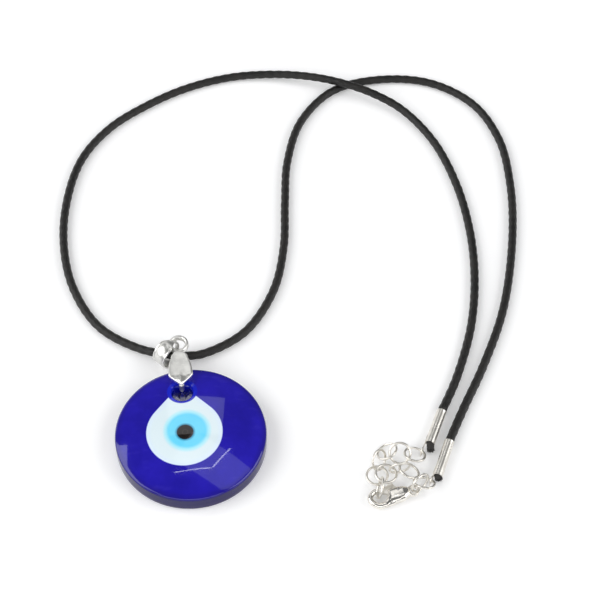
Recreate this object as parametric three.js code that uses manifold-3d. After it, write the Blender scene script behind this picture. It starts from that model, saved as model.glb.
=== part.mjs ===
// Evil eye pendant necklace: a fused glass disc on a metal bail, threaded on a waxed cord
// that closes with a lobster clasp and an extender chain. It lies on a table, face up.
// Millimetres, +Z up. The table is z = 0 and the origin is under the middle of the disc.
import * as THREE from 'three';
import Module from 'manifold-3d';
import { mergeVertices } from 'three/addons/utils/BufferGeometryUtils.js';

// ---- driving dimensions ----

const degree = Math.PI / 180;

// glass disc, in its own frame: flat back at z = 0, hole towards +Y
const discRadius = 15;
const rimHeight = 3.9;
const domeHeight = 5.8;
const edgeRound = 0.6;
const holeRadius = 2.05;
const holeMouthRadius = 2.6;
const holeRimDistance = 5.85;
const holeFromCentre = discRadius - holeRimDistance;
const discTurn = 12.5 * degree;

// the eye, fused into the front of the disc layer by layer
const whiteRadius = 7.45;
const whiteCentre = new THREE.Vector2(-1.25, -0.2);
const whitePointPastHole = 1.7;
const whiteDepth = 2.1;
const irisRadius = 4.3;
const irisCentre = new THREE.Vector2(-0.7, -0.3);
const irisDepth = 1.5;
const pupilRadius = 1.65;
const pupilCentre = new THREE.Vector2(-1.15, -0.65);
const pupilDepth = 0.9;
const fuseGap = 0.3;

// clip that pinches the disc through its hole
const clipTurn = -6.5 * degree;
const leafLength = 8.1;
const leafWidth = 4.9;
const leafTopWidth = 3.5;
const leafTipUp = 0.7;
const frontLeafThickness = 0.8;
const backLeafThickness = 0.5;
const backLeafLength = 6.6;
const backLeafWidth = 3.2;
const leafClearance = 0.15;
const prongRadius = 0.5;
const prongUp = 1.1;
const prongGap = 1.0;
const eyeRadius = 1.7;
const eyeWire = 0.38;
const eyeLayers = 2;
const eyeUp = 12.3;
const strapWidth = 1.5;
const strapThickness = 0.5;

// hoop that the cord runs through
const hoopInnerRadius = 2.55;
const hoopThickness = 0.4;
const hoopWidth = hoopInnerRadius * 1.2157;
const hoopStripWidth = 0.9;
const hoopStripAt = new THREE.Vector3(-3.56, 21.844, 3.1);
const hoopTurn = -42 * degree;
const hoopMiddle = hoopInnerRadius + hoopThickness / 2;
const hoopSide = new THREE.Vector3(-Math.sin(hoopTurn), Math.cos(hoopTurn), 0);
const hoopCentre = hoopStripAt.clone().addScaledVector(hoopSide, -hoopMiddle);

// cord and its crimped ends
const cordDiameter = 1.8;
const cordRadius = cordDiameter / 2;
const cordSides = 8;
const cordSteps = 80;
const crimpOuterRadius = 1.05;
const crimpWall = 0.28;
const crimpSeam = 0.14;
const crimpMouthGap = 0.3;
const squeezedRadius = 0.62;
const crimpEyeRadius = 0.85;
const crimpEyeWire = 0.25;
const crimpRoll = -90 * degree;
const crimps = {
  a: { mouth: [50.1, 6.9], heading: -110 * degree, length: 8.0, tip: 1.7, tipRise: 0.75 },
  b: { mouth: [51.3, -0.2], heading: -109 * degree, length: 8.4, tip: 0.7, tipRise: 0.5 },
};

// rings and chain links
const linkRadius = 2.05;
const linkWire = 0.25;

// clasp, in its own frame: tail eye at the origin, hook towards +X, lever towards -Y
const claspThickness = 2.4;
const claspTailRadius = 1.25;
const claspTailHole = 0.72;
const claspTailHeight = 0.9;
const claspLength = 10.5;
const hookWire = 0.6;
const leverThickness = 0.9;
const leverSlotGap = 0.12;
const pinRadius = 0.3;
const pinGap = 0.1;
const springRadius = 0.32;
const springWire = 0.09;
const springTurns = 4;
const springLength = 0.7;
const claspPlace = new THREE.Vector3(43.7, -11.5, 1.3);
const claspTurn = 195 * degree;

// ---- materials ----

const cobaltGlass = new THREE.MeshStandardMaterial({ color: 0x1a16a0, roughness: 0.08, metalness: 0 });
const whiteGlass = new THREE.MeshStandardMaterial({ color: 0xe4f0f8, roughness: 0.12, metalness: 0 });
const turquoiseGlass = new THREE.MeshStandardMaterial({ color: 0x62dcfa, roughness: 0.12, metalness: 0 });
const blackGlass = new THREE.MeshStandardMaterial({ color: 0x1c1410, roughness: 0.15, metalness: 0 });
const platedMetal = new THREE.MeshStandardMaterial({ color: 0xcfccc4, roughness: 0.25, metalness: 1 });
const springSteel = new THREE.MeshStandardMaterial({ color: 0x9a9890, roughness: 0.35, metalness: 1 });
const waxedCord = new THREE.MeshStandardMaterial({ color: 0x171513, roughness: 0.55, metalness: 0 });

// ---- solids ----

const wasm = await Module();
wasm.setup();

// A closed geometry as a manifold solid, with its shared vertices merged.
function solid(geometry) {
  const bare = geometry.clone();
  bare.deleteAttribute('normal');
  bare.deleteAttribute('uv');
  const merged = mergeVertices(bare, 1e-4);
  const vertProperties = new Float32Array(merged.attributes.position.array);
  const triVerts = new Uint32Array(merged.index.array);
  return new wasm.Manifold(new wasm.Mesh({ numProp: 3, vertProperties, triVerts }));
}

function geometryOf(body) {
  const mesh = body.getMesh();
  const geometry = new THREE.BufferGeometry();
  geometry.setAttribute('position', new THREE.BufferAttribute(new Float32Array(mesh.vertProperties), 3));
  geometry.setIndex(new THREE.BufferAttribute(new Uint32Array(mesh.triVerts), 1));
  return geometry;
}

function joined(...geometries) {
  return geometries.map(solid).reduce((whole, piece) => whole.add(piece));
}

function named(name, geometry, material) {
  const mesh = new THREE.Mesh(geometry, material);
  mesh.name = name;
  return mesh;
}

// A shape turned about Z, from a profile of [radius, height] points.
function turned(profile, segments) {
  const points = profile.map(([r, z]) => new THREE.Vector2(r, z));
  return new THREE.LatheGeometry(points, segments).rotateX(Math.PI / 2);
}

function prism(shape, bottom, top, segments = 24) {
  const settings = { depth: top - bottom, bevelEnabled: false, curveSegments: segments };
  return new THREE.ExtrudeGeometry(shape, settings).translate(0, 0, bottom);
}

function cylinder(radius, bottom, top, segments) {
  const length = top - bottom;
  const geometry = new THREE.CylinderGeometry(radius, radius, length, segments);
  return geometry.rotateX(Math.PI / 2).translate(0, 0, (bottom + top) / 2);
}

// A wire ring about Z. Its section is a polygon that closes on itself.
function wireRing(radius, wire, segments, sides) {
  const profile = [];
  for (let i = 0; i <= sides; i += 1) {
    const angle = (i * 2 * Math.PI) / sides;
    profile.push([radius + wire * Math.cos(angle), wire * Math.sin(angle)]);
  }
  return turned(profile, segments);
}

function roundSection(radius, sides) {
  const points = [];
  for (let i = 0; i < sides; i += 1) {
    const angle = ((i + 0.5) * 2 * Math.PI) / sides;
    points.push(new THREE.Vector2(radius * Math.cos(angle), radius * Math.sin(angle)));
  }
  return new THREE.Shape(points);
}

function tubeAlong(curve, radius, sides, steps) {
  return new THREE.ExtrudeGeometry(roundSection(radius, sides), { steps, extrudePath: curve });
}

// ---- glass disc and the eye in it ----

const domeEdge = discRadius - edgeRound;
const domeRise = domeHeight - rimHeight;
const domeSphere = (domeEdge ** 2 + domeRise ** 2) / (2 * domeRise);

function domeAt(r) {
  return domeHeight - domeSphere + Math.sqrt(domeSphere ** 2 - r ** 2);
}

function discBlank() {
  const profile = [[0, 0], [discRadius - edgeRound / 2, 0], [discRadius, edgeRound / 2]];
  for (const angle of [0, 30, 60]) {
    const x = domeEdge + edgeRound * Math.cos(angle * degree);
    profile.push([x, rimHeight - edgeRound * (1 - Math.sin(angle * degree))]);
  }
  for (const share of [1, 0.8, 0.6, 0.4, 0.2]) {
    profile.push([domeEdge * share, domeAt(domeEdge * share)]);
  }
  profile.push([0, domeHeight]);
  return solid(turned(profile, 56));
}

function holeTool() {
  const flare = 1.6;
  const above = domeHeight + 1;
  const profile = [[0, -1], [holeRadius, -1], [holeRadius, domeHeight - 2 * flare]];
  profile.push([holeRadius + 0.15, domeHeight - flare], [holeMouthRadius, domeHeight - flare / 2]);
  profile.push([holeMouthRadius + 0.2, above], [0, above]);
  return solid(turned(profile, 28).translate(0, holeFromCentre, 0));
}

// A drop: a circle whose two flanks run straight to a point past the hole.
function whiteOutline(grow) {
  const radius = whiteRadius + grow;
  const point = new THREE.Vector2(0, holeFromCentre + whitePointPastHole);
  const toPoint = point.clone().sub(whiteCentre);
  const flank = Math.acos(whiteRadius / toPoint.length());
  const heading = toPoint.angle();
  const tip = toPoint.clone().multiplyScalar(1 + grow / whiteRadius).add(whiteCentre);
  const shape = new THREE.Shape();
  shape.absarc(whiteCentre.x, whiteCentre.y, radius, heading + flank, heading - flank + 2 * Math.PI);
  shape.lineTo(tip.x, tip.y);
  return shape;
}

const top = domeHeight + 1;

function circleAt(centre, radius, bottom, segments) {
  return solid(cylinder(radius, bottom, top, segments).translate(centre.x, centre.y, 0));
}

const whiteFloor = domeHeight - whiteDepth;
const irisFloor = domeHeight - irisDepth;
const pupilFloor = domeHeight - pupilDepth;
const blank = discBlank();
const hole = holeTool();

function glassDisc() {
  const pocket = solid(prism(whiteOutline(fuseGap), whiteFloor - fuseGap, top, 20));
  return geometryOf(blank.subtract(pocket).subtract(hole));
}

function eyeWhite() {
  const drop = solid(prism(whiteOutline(0), whiteFloor, top, 20));
  const pocket = circleAt(irisCentre, irisRadius + fuseGap, irisFloor - fuseGap, 32);
  return geometryOf(drop.intersect(blank).subtract(pocket).subtract(hole));
}

function eyeIris() {
  const pocket = circleAt(pupilCentre, pupilRadius + fuseGap, pupilFloor - fuseGap, 20);
  const plug = circleAt(irisCentre, irisRadius, irisFloor, 32);
  return geometryOf(plug.intersect(blank).subtract(pocket));
}

function eyePupil() {
  return geometryOf(circleAt(pupilCentre, pupilRadius, pupilFloor, 20).intersect(blank));
}

// ---- bail: a clip with two leaves, and a hoop ----

// A leaf outline: round top, widest low down, and a pointed tip.
function leafOutline(length, width, topWidth) {
  const shape = new THREE.Shape();
  const shoulder = length * 0.3;
  const crown = length - topWidth / 2;
  shape.moveTo(0, 0);
  shape.lineTo(width / 2, shoulder);
  shape.quadraticCurveTo(width / 2, crown * 0.8, topWidth / 2, crown);
  shape.absarc(0, crown, topWidth / 2, 0, Math.PI);
  shape.quadraticCurveTo(-width / 2, crown * 0.8, -width / 2, shoulder);
  return shape;
}

const frontLeafUnder = domeAt(holeFromCentre - leafWidth / 2) + leafClearance + 0.1;
const frontLeafOver = frontLeafUnder + frontLeafThickness;
const backLeafUnder = -leafClearance - backLeafThickness;
const eyeHeight = (rimHeight + frontLeafOver) / 2 - 1.9;

function strap(points) {
  const curve = new THREE.CatmullRomCurve3(points.map(([y, z]) => new THREE.Vector3(0, y, z)));
  const section = new THREE.Shape();
  const wide = strapWidth / 2;
  const thick = strapThickness / 2;
  section.moveTo(-wide, -thick);
  section.lineTo(wide, -thick);
  section.lineTo(wide, thick);
  section.lineTo(-wide, thick);
  return new THREE.ExtrudeGeometry(section, { steps: 6, extrudePath: curve });
}

function bailClip() {
  const front = prism(leafOutline(leafLength, leafWidth, leafTopWidth), 0, frontLeafThickness, 6);
  front.translate(0, leafTipUp, frontLeafUnder);
  const back = prism(leafOutline(backLeafLength, backLeafWidth, strapWidth + 0.4), 0, backLeafThickness, 5);
  back.translate(0, leafTipUp, backLeafUnder);
  const middle = (frontLeafUnder + backLeafUnder + backLeafThickness) / 2;
  const frontProng = cylinder(prongRadius, middle + prongGap / 2, frontLeafUnder + 0.2, 10);
  const backProng = cylinder(prongRadius, backLeafUnder + 0.2, middle - prongGap / 2, 10);
  frontProng.translate(0, prongUp, 0);
  backProng.translate(0, prongUp, 0);
  const clear = holeRimDistance + leafClearance + 0.35;
  const ringEdge = eyeUp - eyeRadius;
  const frontTop = frontLeafOver - strapThickness / 2;
  const backBottom = backLeafUnder + strapThickness / 2;
  const frontStrap = strap([
    [leafTipUp + leafLength - 1.6, frontTop],
    [leafTipUp + leafLength, frontTop - 0.5],
    [ringEdge, eyeHeight + eyeWire],
  ]);
  const backStrap = strap([
    [clear - 2.5, backBottom],
    [clear + 0.4, backBottom + 0.1],
    [clear + 2.0, eyeHeight * 0.4],
    [ringEdge, eyeHeight - eyeWire],
  ]);
  const rings = [];
  for (let i = 0; i < eyeLayers; i += 1) {
    const lift = (i - (eyeLayers - 1) / 2) * eyeWire * 1.6;
    rings.push(wireRing(eyeRadius, eyeWire, 20, 6).translate(0, eyeUp, eyeHeight + lift));
  }
  return geometryOf(joined(front, back, frontProng, backProng, frontStrap, backStrap, ...rings));
}

// The hoop stands on its edge: wide on the side away from the clip, and narrow where
// it passes through the clip's eye. Its own frame has its axis along X, the strip at +Y.
function bailHoop() {
  const outer = hoopInnerRadius + hoopThickness;
  const half = hoopWidth / 2;
  const profile = [[hoopInnerRadius, -half], [outer, -half], [outer, half], [hoopInnerRadius, half]];
  profile.push(profile[0]);
  let band = solid(turned(profile, 40).rotateY(Math.PI / 2));
  for (const side of [-1, 1]) {
    const cut = new THREE.Shape();
    cut.moveTo(side * half * 1.02, -outer * 0.2);
    cut.lineTo(side * (hoopStripWidth / 2), outer * 0.72);
    cut.lineTo(side * (hoopStripWidth / 2), outer * 1.2);
    cut.lineTo(side * half * 2, outer * 1.2);
    cut.lineTo(side * half * 2, -outer * 0.2);
    band = band.subtract(solid(prism(cut, -outer * 1.2, outer * 1.2)));
  }
  return geometryOf(band);
}

// ---- cord and crimps ----

// Where the cord lies, from crimp a round to crimp b. It rises to pass through the
// hoop, and again in a long low hump where it crosses over itself.
const cordInHoop = hoopCentre.z - (hoopInnerRadius - cordRadius) * 0.485;
const cordRoute = [
  [51.4, 9.9, 0.9], [53.7, 15.6, 0.9], [57.2, 28.0, 0.9], [58.7, 41.0, 0.9], [58.3, 54.0, 0.9],
  [55.9, 67.2, 0.9], [51.4, 79.2, 0.95], [44.9, 87.8, 1.5], [38.6, 91.8, 2.4],
  [31.6, 94.6, 3.0], [23.8, 97.2, 2.5], [15.0, 98.8, 1.5], [5.5, 98.4, 0.92], [-4.5, 95.0, 0.9],
  [-13.5, 89.6, 0.9], [-21.3, 82.9, 0.9], [-26.9, 74.0, 0.9], [-29.4, 62.5, 0.9],
  [-29.3, 50.0, 0.9], [-26.4, 38.0, 0.9], [-20.2, 27.8, 0.95], [-11.8, 22.2, 1.35],
  [-5.4, 19.95, cordInHoop], [-2.2, 19.9, cordInHoop - 0.35], [1.6, 20.8, 1.3], [10.0, 26.4, 0.95],
  [15.9, 37.0, 0.9], [18.1, 49.0, 0.9],
  [18.3, 61.0, 0.9], [18.8, 73.0, 0.9], [22.0, 85.2, 0.9], [29.3, 94.3, 0.9], [39.6, 97.7, 0.9],
  [51.4, 96.7, 0.9], [61.0, 90.2, 0.9], [66.3, 79.7, 0.9], [68.0, 66.5, 0.9], [67.4, 51.0, 0.9],
  [64.2, 32.4, 0.9], [59.3, 18.4, 0.9], [54.2, 6.9, 0.9],
];

const crimpHeight = Math.max(crimpOuterRadius, crimpEyeRadius + crimpEyeWire);

// A point on a crimp's axis, or off it on the side away from its eye.
function crimpPoint(crimp, along, aside = 0) {
  const ahead = new THREE.Vector3(along, -aside * Math.sin(crimpRoll), aside * Math.cos(crimpRoll));
  ahead.applyAxisAngle(new THREE.Vector3(0, 0, 1), crimp.heading);
  return ahead.add(new THREE.Vector3(crimp.mouth[0], crimp.mouth[1], crimpHeight));
}

function neckCord() {
  const route = cordRoute.map((point) => new THREE.Vector3(...point));
  const startAt = crimpPoint(crimps.a, -crimpMouthGap);
  const endAt = crimpPoint(crimps.b, -crimpMouthGap);
  const curve = new THREE.CatmullRomCurve3([startAt, ...route, endAt], false, 'centripetal');
  const pieces = [tubeAlong(curve, cordRadius, cordSides, cordSteps)];
  for (const crimp of [crimps.a, crimps.b]) {
    const inside = [crimpPoint(crimp, -2 * crimpMouthGap), crimpPoint(crimp, crimp.length)];
    pieces.push(tubeAlong(new THREE.LineCurve3(...inside), squeezedRadius, cordSides, 1));
    const tip = [crimpPoint(crimp, crimp.length - 0.1)];
    tip.push(crimpPoint(crimp, crimp.length + crimp.tip, crimp.tipRise));
    pieces.push(tubeAlong(new THREE.LineCurve3(...tip), squeezedRadius, cordSides, 1));
  }
  return geometryOf(joined(...pieces));
}

// A crimp is a strip folded round the cord, with a seam opposite the strip's back and an
// eye at its end. Its own frame runs from the mouth at the origin along +X, seam up.
function cordCrimp(crimp) {
  const inner = crimpOuterRadius - crimpWall;
  const seam = Math.asin(crimpSeam / 2 / crimpOuterRadius);
  const section = new THREE.Shape();
  section.absarc(0, 0, crimpOuterRadius, Math.PI / 2 + seam, Math.PI * 2.5 - seam);
  section.absarc(0, 0, inner, Math.PI * 2.5 - seam, Math.PI / 2 + seam, true);
  const settings = { depth: crimp.length, bevelEnabled: false, curveSegments: 14 };
  const sleeve = new THREE.ExtrudeGeometry(section, settings);
  sleeve.rotateX(Math.PI / 2).rotateZ(Math.PI / 2);
  const eyeAt = crimp.length + crimp.tip + crimpEyeRadius * 0.75;
  const tongueEnd = eyeAt - crimpEyeRadius;
  const backAt = crimpWall / 2 - crimpOuterRadius;
  const tongue = new THREE.BoxGeometry(tongueEnd - crimp.length + 0.8, 0.8, crimpWall);
  tongue.translate((tongueEnd + crimp.length - 0.8) / 2, 0, backAt);
  const eye = wireRing(crimpEyeRadius, crimpEyeWire, 16, 6).translate(eyeAt, 0, backAt);
  return geometryOf(joined(sleeve, tongue, eye));
}

// ---- rings and chain ----

// Each ring as it lies: centre, the turn of its long way about Z, and its roll off flat.
const ringLay = [
  ['jump_ring_a', 44.25, -3.6, 1.85, -25, -22],
  ['chain_link_01', 41.3, -3.5, 2.2, -7, 42],
  ['chain_link_02', 38.8, -2.6, 1.35, 60, -30],
  ['chain_link_03', 37.15, -5.1, 2.25, 239, -64],
  ['chain_link_04', 36.7, -8.25, 1.6, 334, -1],
  ['chain_link_05', 37.2, -11.4, 2.25, 264, -104],
  ['chain_link_06', 38.4, -8.45, 2.7, 114, 6],
  ['chain_link_07', 41.15, -6.9, 2.3, 12, -84],
  ['chain_link_08', 42.95, -7.65, 2.5, -51, -30],
  ['jump_ring_b', 45.85, -10.1, 2, -15, -31],
  ['clasp_ring', 45, -10.35, 2.3, 220, 98],
];

function ringGeometry() {
  return wireRing(linkRadius, linkWire, 22, 6);
}

function ringGroup([name, x, y, z, turn, roll]) {
  const group = new THREE.Group();
  group.position.set(x, y, z);
  group.rotation.set(roll * degree, 0, turn * degree, 'ZYX');
  group.add(named(name, ringGeometry(), platedMetal));
  return group;
}

// ---- clasp ----

const pivot = new THREE.Vector2(3.0, -0.5);
const hookEnd = claspLength - claspTailRadius;
const gateEnd = hookEnd - 2.5;
const slotFloor = 0.9;
const springPlace = new THREE.Vector2(pivot.x + 1.05, slotFloor - springLength - springWire - 0.02);

function claspBody() {
  const block = new THREE.Shape();
  block.moveTo(0.6, -0.9);
  block.lineTo(2.4, -1.6);
  block.lineTo(4.9, -1.5);
  block.lineTo(5.3, 0.9);
  block.lineTo(5.2, 2.0);
  block.quadraticCurveTo(2.6, 2.0, 0.6, 0.9);
  const half = claspThickness / 2;
  const hookPoints = [
    [4.6, 1.4], [6.2, 1.65], [hookEnd - 1.9, 1.6], [hookEnd - hookWire - 0.25, 0.7],
    [hookEnd - hookWire, -0.4], [hookEnd - 1.35, -1.5], [hookEnd - 2.3, -1.75],
  ];
  const curve = new THREE.CatmullRomCurve3(hookPoints.map(([x, y]) => new THREE.Vector3(x, y, 0)));
  const tailHalf = claspTailHeight / 2;
  const tail = turned([
    [claspTailHole, -tailHalf], [claspTailRadius, -tailHalf], [claspTailRadius, tailHalf],
    [claspTailHole, tailHalf], [claspTailHole, -tailHalf],
  ], 20);
  const whole = joined(prism(block, -half, half, 6), tubeAlong(curve, hookWire, 8, 14), tail);
  const slotHalf = leverThickness / 2 + leverSlotGap;
  const slot = new THREE.BoxGeometry(4.4, 2 * (slotFloor + 1), 2 * slotHalf);
  slot.translate(pivot.x + 1.1, -1, 0);
  const eyeHole = cylinder(claspTailHole, -2, 2, 16);
  const pinHole = cylinder(pinRadius + pinGap, -2, 2, 12).translate(pivot.x, pivot.y, 0);
  return geometryOf(whole.subtract(solid(slot)).subtract(solid(eyeHole)).subtract(solid(pinHole)));
}

function claspLever() {
  const outline = new THREE.Shape();
  outline.moveTo(pivot.x - 0.7, 0);
  outline.lineTo(pivot.x + 1.5, -0.1);
  outline.lineTo(gateEnd, -1.35);
  outline.lineTo(gateEnd - 0.3, -2.15);
  outline.lineTo(pivot.x + 2, -2.15);
  outline.quadraticCurveTo(pivot.x + 1.5, -2.3, pivot.x + 1.3, -2.9);
  outline.lineTo(pivot.x + 0.6, -2.9);
  outline.quadraticCurveTo(pivot.x + 0.6, -1.6, pivot.x - 0.7, -1.2);
  const half = leverThickness / 2;
  const pinHole = cylinder(pinRadius + pinGap, -2, 2, 12).translate(pivot.x, pivot.y, 0);
  return geometryOf(solid(prism(outline, -half, half, 5)).subtract(solid(pinHole)));
}

function claspPin() {
  const half = claspThickness / 2;
  return cylinder(pinRadius, -half, half, 12).translate(pivot.x, pivot.y, 0);
}

// A small coil that pushes the lever's thumb end out, so that the gate stays shut.
class Coil extends THREE.Curve {
  getPoint(share, target = new THREE.Vector3()) {
    const angle = share * springTurns * 2 * Math.PI;
    const x = springRadius * Math.cos(angle);
    const z = springRadius * Math.sin(angle);
    return target.set(x, share * springLength, z);
  }
}

function claspSpring() {
  const wire = tubeAlong(new Coil(), springWire, 5, springTurns * 8);
  return wire.translate(springPlace.x, springPlace.y, 0);
}

const clasp = new THREE.Group();
clasp.position.copy(claspPlace);
clasp.rotation.z = claspTurn;
clasp.add(named('clasp_body', claspBody(), platedMetal));
clasp.add(named('clasp_lever', claspLever(), platedMetal));
clasp.add(named('clasp_pin', claspPin(), springSteel));
clasp.add(named('clasp_spring', claspSpring(), springSteel));

// ---- the necklace ----

const leafLift = backLeafThickness + leafClearance;
const tilt = Math.asin(leafLift / (discRadius + holeFromCentre + leafTipUp));

const bail = new THREE.Group();
bail.position.set(0, holeFromCentre, 0);
bail.rotation.z = clipTurn;
bail.add(named('bail_clip', bailClip(), platedMetal));

const pendant = new THREE.Group();
pendant.rotation.set(tilt, 0, discTurn, 'ZYX');
pendant.position.z = discRadius * Math.sin(tilt);
pendant.add(named('glass_disc', glassDisc(), cobaltGlass));
pendant.add(named('eye_white', eyeWhite(), whiteGlass));
pendant.add(named('eye_iris', eyeIris(), turquoiseGlass));
pendant.add(named('eye_pupil', eyePupil(), blackGlass));
pendant.add(bail);

const hoop = named('bail_hoop', bailHoop(), platedMetal);
hoop.position.copy(hoopCentre);
hoop.rotation.z = hoopTurn;

// The places above suit an eye at eyeAsLaid. With another disc or clip the eye moves,
// and everything that hangs from it moves along.
const eyeAsLaid = new THREE.Vector2(-3.246, 21.075);
pendant.updateMatrixWorld(true);
const eyeNow = bail.localToWorld(new THREE.Vector3(0, eyeUp, eyeHeight));
const loop = new THREE.Group();
loop.position.set(eyeNow.x - eyeAsLaid.x, eyeNow.y - eyeAsLaid.y, 0);
loop.add(hoop, clasp);
loop.add(named('neck_cord', neckCord(), waxedCord));
for (const [end, crimp] of Object.entries(crimps)) {
  const piece = named(`cord_crimp_${end}`, cordCrimp(crimp), platedMetal);
  piece.position.set(crimp.mouth[0], crimp.mouth[1], crimpHeight);
  piece.rotation.set(crimpRoll, 0, crimp.heading, 'ZYX');
  loop.add(piece);
}
for (const lay of ringLay) loop.add(ringGroup(lay));

const necklace = new THREE.Group();
necklace.add(pendant, loop);

export default necklace;
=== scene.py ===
# %% [markdown]
# # An evil eye pendant on a waxed cord
# The necklace lies on a table: a fused glass disc with an eye in it, a metal clip and hoop
# that carry it, a black waxed cord laid in two loops, and a spring clasp with its chain.
# The CAD model is loaded first as a fixed frame, so that each piece made here goes where
# its CAD solid is. Blender works in metres, and the helpers below take millimetres.

# %% Load the frame
import math
import random

import bmesh
import bpy
import numpy as np
from mathutils import Matrix, Vector


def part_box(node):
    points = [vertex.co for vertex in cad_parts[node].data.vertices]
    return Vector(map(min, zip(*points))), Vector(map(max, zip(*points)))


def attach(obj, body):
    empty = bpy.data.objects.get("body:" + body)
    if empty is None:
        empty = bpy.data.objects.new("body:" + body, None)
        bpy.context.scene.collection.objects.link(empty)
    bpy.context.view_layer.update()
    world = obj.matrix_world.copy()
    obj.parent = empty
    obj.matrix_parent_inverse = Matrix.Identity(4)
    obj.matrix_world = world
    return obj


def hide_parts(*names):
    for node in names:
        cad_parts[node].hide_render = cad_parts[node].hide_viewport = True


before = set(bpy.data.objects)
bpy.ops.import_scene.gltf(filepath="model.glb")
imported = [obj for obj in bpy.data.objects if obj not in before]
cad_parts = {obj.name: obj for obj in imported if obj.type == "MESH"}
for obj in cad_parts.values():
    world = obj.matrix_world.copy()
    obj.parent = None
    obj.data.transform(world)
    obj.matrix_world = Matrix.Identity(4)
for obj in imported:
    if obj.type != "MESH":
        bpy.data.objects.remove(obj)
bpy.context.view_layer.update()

# %% [markdown]
# ## Places
# Four parts are turned on the table, so each has its own flat frame: the glass, the clip
# on it, the hoop and the clasp. A matrix for each lets its mesh be drawn the easy way, flat
# and centred, and then be laid in its place with one multiplication.

# %% Frames of the turned parts
def placed(x, y, z, turn=0.0, roll=0.0):
    """A frame in millimetres, turned about Z after it is rolled about its own X."""
    turned = Matrix.Rotation(math.radians(turn), 4, "Z") @ Matrix.Rotation(math.radians(roll), 4, "X")
    return Matrix.Translation((x, y, z)) @ turned


DISC_RADIUS, RIM_HEIGHT, DOME_HEIGHT, EDGE_ROUND = 15.0, 3.9, 5.8, 0.6
HOLE_OUT, HOLE_RADIUS = 9.15, 2.05
TILT = math.degrees(math.asin(0.65 / (DISC_RADIUS + HOLE_OUT + 0.7)))
GLASS = placed(0, 0, DISC_RADIUS * math.sin(math.radians(TILT)), 12.5, TILT)
CLIP = GLASS @ placed(0, HOLE_OUT, 0, -6.5)
HOOP = placed(-5.4, 19.8, 3.1, -42)
CLASP = placed(43.7, -11.5, 1.3, 195)
CRIMP_HEIGHT = 1.1
CRIMPS = {
    "a": {"mouth": (50.1, 6.9), "heading": -110, "length": 8.0, "tip": 1.7, "rise": 0.75},
    "b": {"mouth": (51.3, -0.2), "heading": -109, "length": 8.4, "tip": 0.7, "rise": 0.5},
}
print("glass leans by", round(TILT, 2), "degrees")

# %% [markdown]
# ## Small mesh tools
# Most pieces here are a section carried along a line. `skin` joins a stack of sections
# into a closed shell, and `piece` turns points in millimetres into a finished object that
# rides on its CAD body. Edges sharper than a set angle stay crisp and all others are smooth.

# %% Mesh tools
def skin(sections, wrap=False):
    """Faces round a stack of sections with the same number of points, its ends capped."""
    sections = np.asarray(sections, float)
    rows, around = sections.shape[:2]
    faces = []
    for i in range(rows if wrap else rows - 1):
        a, b = i * around, (i + 1) % rows * around
        faces += [(a + k, a + (k + 1) % around, b + (k + 1) % around, b + k) for k in range(around)]
    if not wrap:
        faces += [tuple(range(around))[::-1], tuple(range((rows - 1) * around, rows * around))]
    return sections.reshape(-1, 3), faces


def piece(name, shells, body, material, place=Matrix(), crisp=35.0, stands_for=()):
    """One object of one or more closed shells, in its place, riding on its body."""
    made = bmesh.new()
    for points, faces in shells:
        corners = [made.verts.new(place @ Vector(p) * 0.001) for p in points]
        for face in faces:
            made.faces.new([corners[k] for k in face])
    bmesh.ops.recalc_face_normals(made, faces=made.faces)
    mesh = bpy.data.meshes.new(name)
    made.to_mesh(mesh)
    made.free()
    return settle(bpy.data.objects.new(name, mesh), body, material, crisp, stands_for)


def settle(thing, body, material, crisp=35.0, stands_for=()):
    """The last steps for every mesh object: shading, finish, body and what it stands for."""
    if thing.name not in bpy.context.scene.collection.all_objects:
        bpy.context.scene.collection.objects.link(thing)
    thing.data.shade_smooth()
    thing.data.set_sharp_from_angle(angle=math.radians(crisp))
    thing.data.materials.clear()
    thing.data.materials.append(material)
    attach(thing, body)
    if stands_for:
        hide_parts(*stands_for)
    print(f"{thing.name}: {len(thing.data.polygons)} faces on {body}")
    return thing


def circle(radius, sides, start=0.0):
    turns = np.arange(sides) * 2 * np.pi / sides + start
    return np.stack([radius * np.cos(turns), radius * np.sin(turns)], 1)


def along(points, section, scales=None, up=(0, 0, 1), wrap=False):
    """Sections carried along a line: each stands square to it, with its Y towards up."""
    points = np.asarray(points, float)
    ahead = np.gradient(points, axis=0)
    if wrap:
        ahead = np.roll(points, -1, 0) - np.roll(points, 1, 0)
    ahead /= np.linalg.norm(ahead, axis=1)[:, None]
    side = np.cross(ahead, np.asarray(up, float))
    side /= np.linalg.norm(side, axis=1)[:, None]
    rise = np.cross(side, ahead)
    scales = np.ones(len(points)) if scales is None else np.asarray(scales, float)
    flat = section[None] * scales[:, None, None]
    return points[:, None] + flat[..., :1] * side[:, None] + flat[..., 1:] * rise[:, None]


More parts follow.
